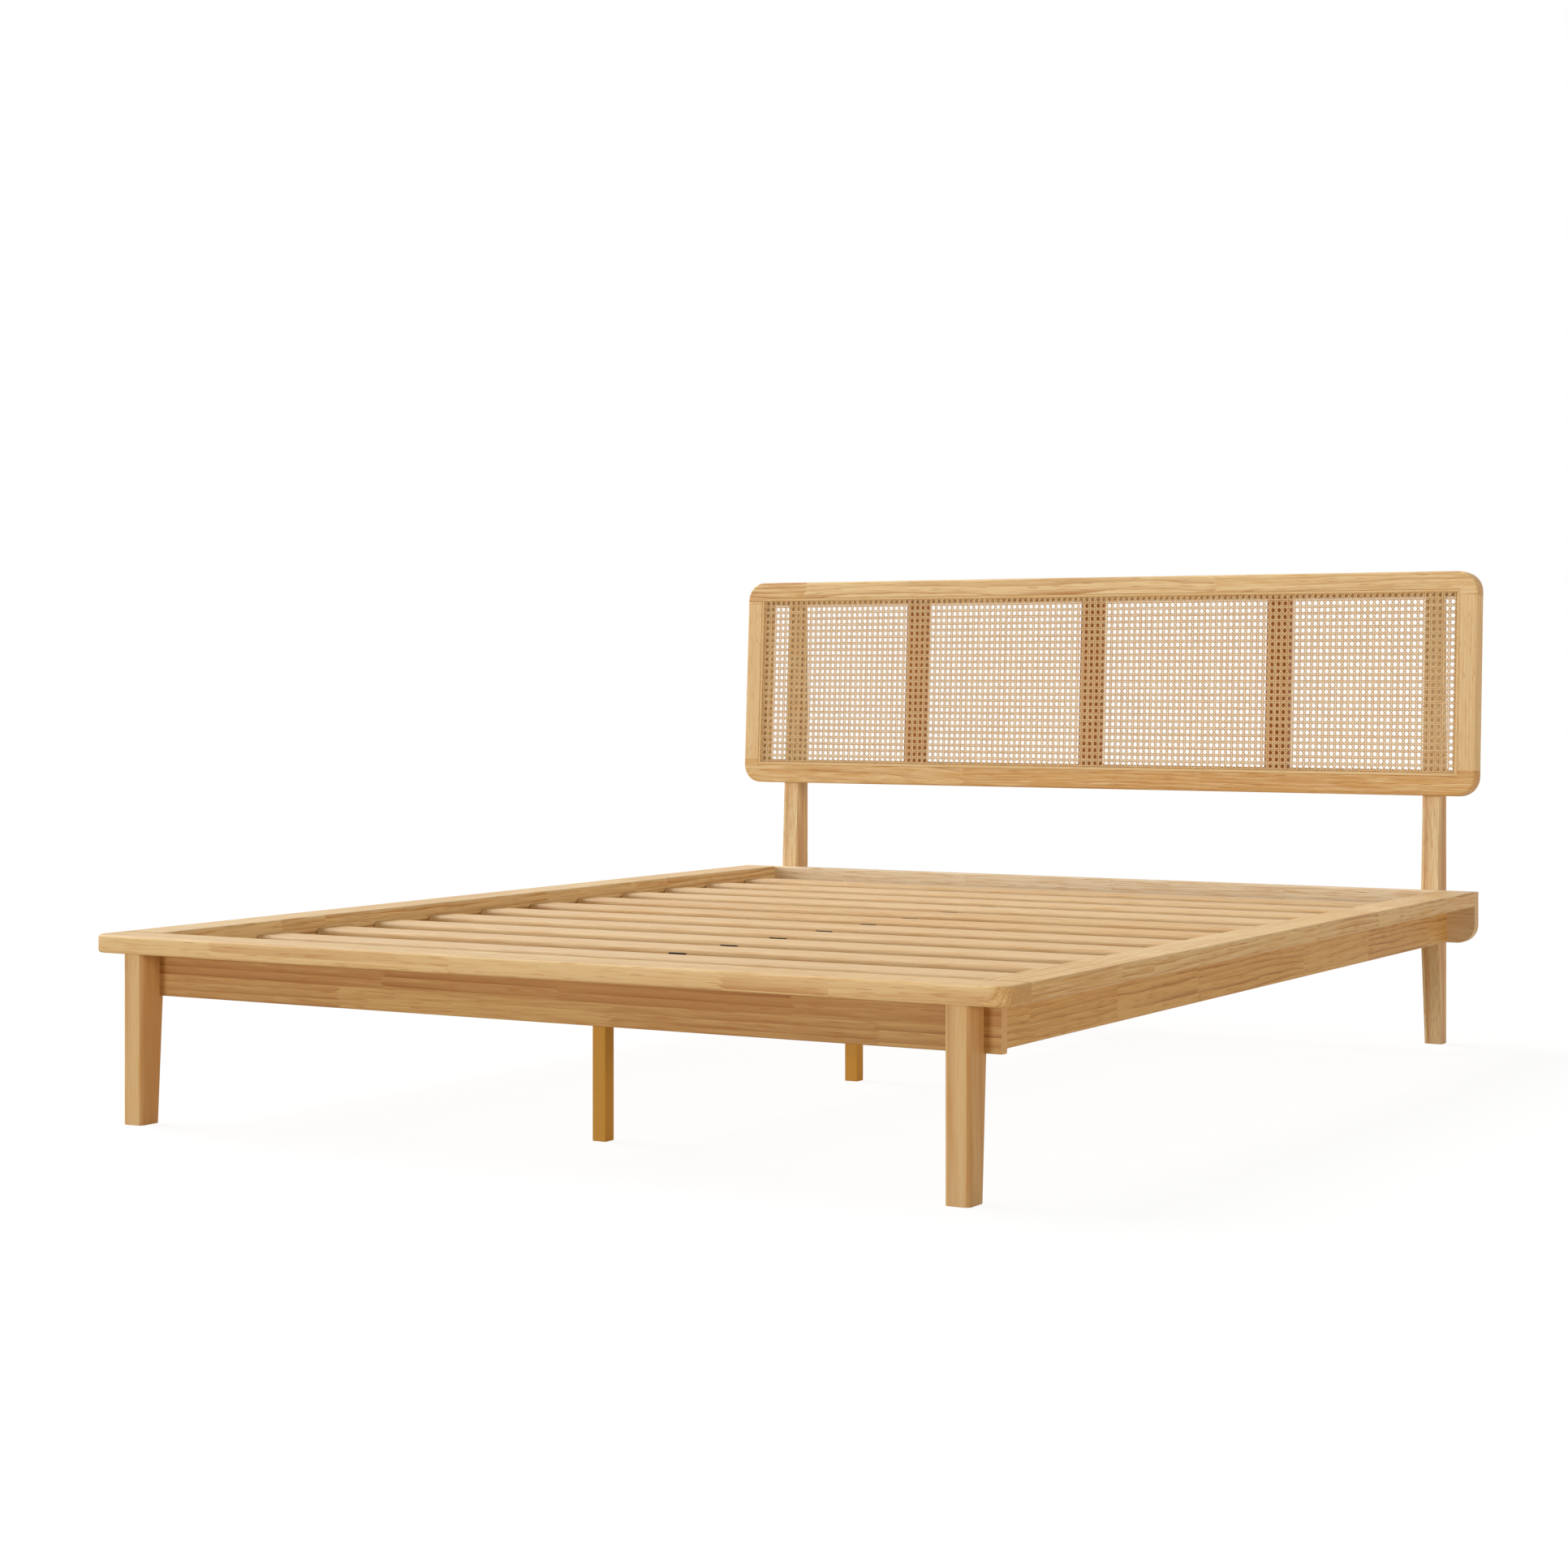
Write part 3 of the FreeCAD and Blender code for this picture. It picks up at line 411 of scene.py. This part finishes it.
# Stage: a white floor that keeps a faint shadow, a dim sky, a broad key lamp on the upper left, a low lamp
# in front and a warm low lamp on the right. A lamp's width is in degrees, with the direction that it shines
# from
stageLook = dict(
    floorSize=60.0, bounceColour="#CAB89A", shownWhite=0.92, shadowShare=0.11,
    skyColour="#FFF3E0", skyStrength=0.3, white="#FFFFFF",
    lamps=dict(
        key=dict(colour="#FFFFFF", strength=2.6, width=40.0, shinesFrom=(-0.72, 0.05, 0.69)),
        front=dict(colour="#FFFFFF", strength=1.28, width=14.0, shinesFrom=(-0.3, -0.95, 0.06)),
        right=dict(colour="#FFEBD0", strength=0.77, width=12.0, shinesFrom=(0.97, -0.2, 0.08)),
    ),
)


# Rays that come straight from the camera, or by way of a shiny or clear surface
def seenRays(add):
    path = add("LightPath")
    direct, shiny = path.outputs["Is Camera Ray"], path.outputs["Is Glossy Ray"]
    seen = add("Math", {0: direct, 1: shiny}, operation="MAXIMUM")
    return add("Math", {0: seen, 1: path.outputs["Is Transmission Ray"]}, operation="MAXIMUM")


def buildStage(look):
    half = look["floorSize"] / 2
    mesh = bpy.data.meshes.new("floor")
    corners = [(-half, -half, 0), (half, -half, 0), (half, half, 0), (-half, half, 0)]
    mesh.from_pydata(corners, [], [(0, 1, 2, 3)])
    material, add = newMaterial("whiteFloor")
    bounce = add("BsdfDiffuse", {"Color": linear(look["bounceColour"])})
    shade = look["shadowShare"]
    shadow = add("BsdfDiffuse", {"Color": (shade, shade, shade, 1.0)})
    glow = add("Emission", {"Color": linear(look["white"]), "Strength": look["shownWhite"]})
    shown = add("AddShader", {0: shadow, 1: glow})
    mixed = add("MixShader", {0: seenRays(add), 1: bounce, 2: shown})
    add("OutputMaterial", {"Surface": mixed})
    mesh.materials.append(material)
    floor = bpy.data.objects.new("floor", mesh)
    bpy.context.scene.collection.objects.link(floor)

    world = bpy.data.worlds.new("studio")
    bpy.context.scene.world = world
    world.use_nodes = True
    world.node_tree.nodes.clear()
    add = functools.partial(addNode, world.node_tree)
    sky = add("Background", {"Color": linear(look["skyColour"]), "Strength": look["skyStrength"]})
    white = add("Background", {"Color": linear(look["white"]), "Strength": 1.0})
    mixed = add("MixShader", {0: seenRays(add), 1: sky, 2: white})
    add("OutputWorld", {"Surface": mixed})

    for name, lamp in look["lamps"].items():
        light = bpy.data.lights.new(name, "SUN")
        light.color = linear(lamp["colour"])[:3]
        light.energy = lamp["strength"]
        light.angle = math.radians(lamp["width"])
        sun = bpy.data.objects.new(name, light)
        sun.rotation_euler = mathutils.Vector(lamp["shinesFrom"]).to_track_quat("Z", "Y").to_euler()
        bpy.context.scene.collection.objects.link(sun)


# Camera: level, turned to the left, with the horizon above the middle of the picture
cameraLook = dict(place=(2.7073, -4.8988, 0.7498), turn=30.26, lens=69.63, sensor=36.0, shiftY=-0.0703,
                  reach=200.0)


def buildCamera(look):
    data = bpy.data.cameras.new("camera")
    data.sensor_width = look["sensor"]
    data.lens = look["lens"]
    data.shift_y = look["shiftY"]
    data.clip_end = look["reach"]
    camera = bpy.data.objects.new("camera", data)
    camera.location = look["place"]
    camera.rotation_euler = (math.pi / 2, 0.0, math.radians(look["turn"]))
    bpy.context.scene.collection.objects.link(camera)
    bpy.context.scene.camera = camera


buildStage(stageLook)
buildCamera(cameraLook)
bpy.context.scene.view_settings.view_transform = "Standard"
print("stage and camera set")
